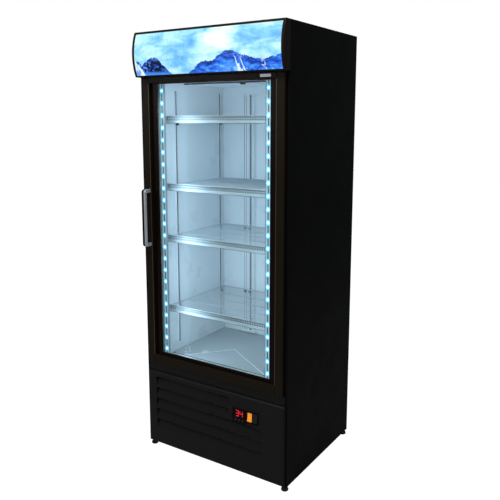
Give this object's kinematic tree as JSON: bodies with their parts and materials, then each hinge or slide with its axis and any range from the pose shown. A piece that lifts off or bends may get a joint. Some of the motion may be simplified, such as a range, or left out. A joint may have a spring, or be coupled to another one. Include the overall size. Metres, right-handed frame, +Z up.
{
  "type": "glass door merchandiser",
  "caption": "Upright refrigerated merchandiser: a black cabinet with a hinged glass door, wire shelves, side light strips, a curved lit header and a louvred kick panel.",
  "frame": {"origin": "On the floor, under the centre of the merchandiser's overall box.", "axes": "+X to the viewer's right when facing the door, +Y from the door to the back, +Z up."},
  "size_m": [0.768, 0.674, 1.95],
  "materials": {
    "black_steel": "satin",
    "galvanised": "satin",
    "bronze_frame": "satin",
    "black_plastic": "matte",
    "white_plastic": "satin",
    "liner_white": "gloss",
    "shelf_white": "gloss",
    "insulation": "matte",
    "pane": "gloss",
    "seal": "matte",
    "silver": "satin",
    "led_white": "gloss",
    "lit_panel": "gloss",
    "coil_metal": "satin",
    "enamel_black": "gloss",
    "fan_grey": "satin",
    "button_grey": "satin",
    "orange_lens": "gloss",
    "grey_lens": "gloss",
    "foot_rubber": "matte",
    "steel": "satin"
  },
  "bodies": {
    "cabinet": {"left_side_panel": "black_steel", "right_side_panel": "black_steel", "top_panel": "black_steel", "rear_panel": "galvanised", "rear_grille": "galvanised", "base_deck": "galvanised", "foam_insulation": "insulation", "liner_walls": "liner_white", "floor_pan": "liner_white", "front_frame": "white_plastic", "sill_rail": "black_steel", "upper_hinge_bracket": "enamel_black", "lower_hinge_bracket": "enamel_black", "side_pilasters": "liner_white", "rear_columns": "liner_white", "shelf_1": "shelf_white", "shelf_2": "shelf_white", "shelf_3": "shelf_white", "shelf_4": "shelf_white", "price_rails": "white_plastic", "shelf_clips": "black_plastic", "light_channels": "silver", "light_strips": "led_white", "evaporator_cover": "liner_white", "evaporator_coil": "coil_metal", "evaporator_fan_motor": "enamel_black", "compressor": "enamel_black", "condenser_coil": "enamel_black", "condenser_fan_motor": "galvanised", "drain_pan": "black_plastic", "kick_panel": "black_steel", "controller": "black_plastic", "switch_bezel": "black_plastic", "header_housing": "liner_white", "header_frame": "bronze_frame", "header_panel": "lit_panel", "header_light_bars": "led_white", "cord_inlet": "black_plastic", "panel_screws": "steel"},
    "door": {"left_stile": "bronze_frame", "right_stile": "bronze_frame", "top_rail": "bronze_frame", "bottom_rail": "bronze_frame", "glass_panes": "pane", "glass_spacer": "silver", "glass_bezel": "black_plastic", "door_gasket": "seal", "handle": "silver", "badge_plate": "silver"},
    "evaporator_fan": {"evaporator_fan": "fan_grey"},
    "condenser_fan": {"condenser_fan": "fan_grey"},
    "set_button": {"set_button": "button_grey"},
    "down_button": {"down_button": "button_grey"},
    "up_button": {"up_button": "button_grey"},
    "power_rocker": {"power_rocker": "orange_lens"},
    "light_rocker": {"light_rocker": "grey_lens"},
    "front_left_foot": {"front_left_foot": "foot_rubber"},
    "front_right_foot": {"front_right_foot": "foot_rubber"},
    "rear_left_foot": {"rear_left_foot": "foot_rubber"},
    "rear_right_foot": {"rear_right_foot": "foot_rubber"}
  },
  "joints": [
    {"name": "door_hinge", "type": "hinge", "parent": "cabinet", "child": "door", "pos_m": [0.354, -0.285, 1.094], "axis": [0, 0, 1], "range_deg": [0, 110]},
    {"name": "evaporator_fan_spin", "type": "hinge", "parent": "cabinet", "child": "evaporator_fan", "pos_m": [0, 0.062, 1.754], "axis": [0, 0, 1], "continuous": true},
    {"name": "condenser_fan_spin", "type": "hinge", "parent": "cabinet", "child": "condenser_fan", "pos_m": [-0.195, -0.176, 0.2], "axis": [0, 1, 0], "continuous": true},
    {"name": "set_button_press", "type": "slide", "parent": "cabinet", "child": "set_button", "axis": [0, 1, 0], "range_m": [0, 0.0008], "stiffness_N_per_m": 500},
    {"name": "down_button_press", "type": "slide", "parent": "cabinet", "child": "down_button", "axis": [0, 1, 0], "range_m": [0, 0.0008], "stiffness_N_per_m": 500},
    {"name": "up_button_press", "type": "slide", "parent": "cabinet", "child": "up_button", "axis": [0, 1, 0], "range_m": [0, 0.0008], "stiffness_N_per_m": 500},
    {"name": "power_rocker_tilt", "type": "hinge", "parent": "cabinet", "child": "power_rocker", "pos_m": [0.2075, -0.291, 0.3], "axis": [1, 0, 0], "range_deg": [0, 16]},
    {"name": "light_rocker_tilt", "type": "hinge", "parent": "cabinet", "child": "light_rocker", "pos_m": [0.2345, -0.291, 0.3], "axis": [1, 0, 0], "range_deg": [0, 16]},
    {"name": "front_left_foot_turn", "type": "hinge", "parent": "cabinet", "child": "front_left_foot", "pos_m": [-0.368, -0.267, 0.022], "axis": [0, 0, 1], "continuous": true},
    {"name": "front_right_foot_turn", "type": "hinge", "parent": "cabinet", "child": "front_right_foot", "pos_m": [0.368, -0.267, 0.022], "axis": [0, 0, 1], "continuous": true},
    {"name": "rear_left_foot_turn", "type": "hinge", "parent": "cabinet", "child": "rear_left_foot", "pos_m": [-0.368, 0.321, 0.022], "axis": [0, 0, 1], "continuous": true},
    {"name": "rear_right_foot_turn", "type": "hinge", "parent": "cabinet", "child": "rear_right_foot", "pos_m": [0.368, 0.321, 0.022], "axis": [0, 0, 1], "continuous": true}
  ]
}
